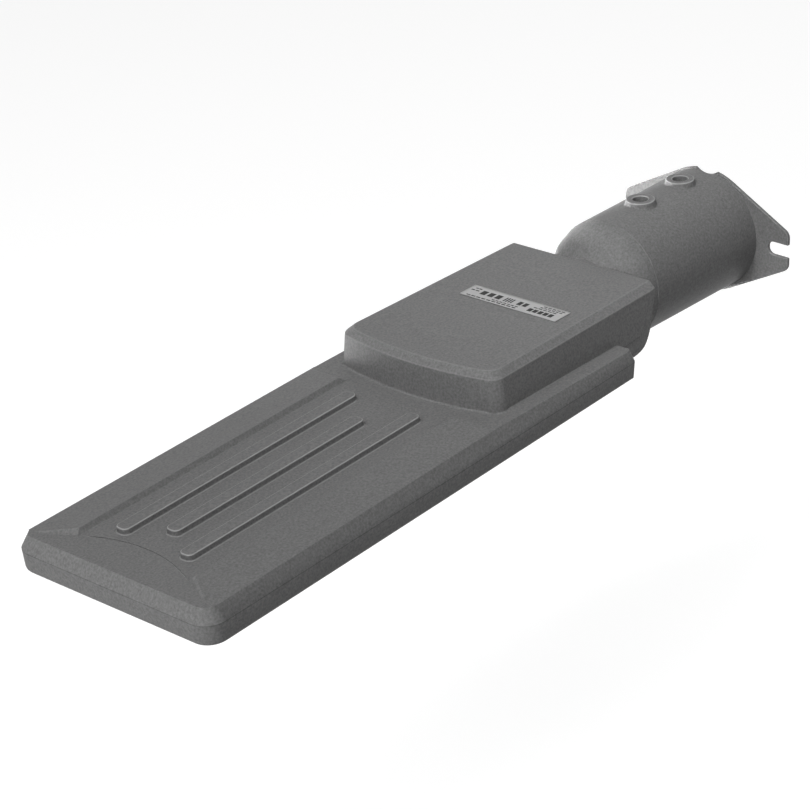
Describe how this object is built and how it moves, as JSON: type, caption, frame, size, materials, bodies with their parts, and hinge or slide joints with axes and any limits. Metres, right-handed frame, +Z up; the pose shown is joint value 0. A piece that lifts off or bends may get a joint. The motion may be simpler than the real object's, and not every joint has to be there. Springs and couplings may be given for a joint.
{
  "type": "street light head",
  "caption": "LED street light head: finned die-cast plate, raised driver box and a tilted round spigot with a slotted wall flange",
  "frame": {"origin": "centre of the spigot's mouth, where the bore's axis meets the flange's rear face", "axes": "+X points rearward out of the spigot's mouth along the head's level length, +Y to the left of someone who looks along +X, +Z up; the light plane is level and the spigot tilts down to the rear"},
  "size_m": [0.4561, 0.128, 0.0747],
  "materials": {
    "housing_paint": "satin grey powder coat",
    "cover_paint": "satin grey powder coat",
    "clear_lens": "clear moulded polycarbonate",
    "seal_rubber": "matte silicone",
    "board": "white solder mask on an aluminium core",
    "chip": "phosphor coated",
    "steel": "bright zinc",
    "driver_shell": "brushed",
    "driver_plastic": "fine texture",
    "terminal_plastic": "smooth",
    "brass": "plain",
    "wire_brown": "smooth",
    "wire_blue": "smooth",
    "wire_green": "smooth",
    "wire_red": "smooth",
    "wire_black": "smooth",
    "gland_plastic": "smooth nylon",
    "label_film": "satin silver film"
  },
  "bodies": {
    "root": {"housing": "housing_paint", "lens_plate": "clear_lens", "lens_gasket": "seal_rubber", "led_board": "board", "led_chips": "chip", "board_screws": "steel", "lens_screws": "steel", "driver_cover": "cover_paint", "driver_cover_gasket": "seal_rubber", "driver_cover_screws": "steel", "driver_case": "driver_shell", "driver_front_cap": "driver_plastic", "driver_rear_cap": "driver_plastic", "driver_screws": "steel", "terminal_block": "terminal_plastic", "terminal_screws": "brass", "wire_live": "wire_brown", "wire_neutral": "wire_blue", "wire_earth": "wire_green", "earth_lug": "brass", "earth_screw": "brass", "lead_plus": "wire_red", "lead_minus": "wire_black", "lead_grommet": "seal_rubber", "gland_body": "gland_plastic", "gland_cap": "gland_plastic", "gland_seal": "seal_rubber", "gland_nut": "gland_plastic", "rating_label": "label_film"}
  },
  "joints": []
}
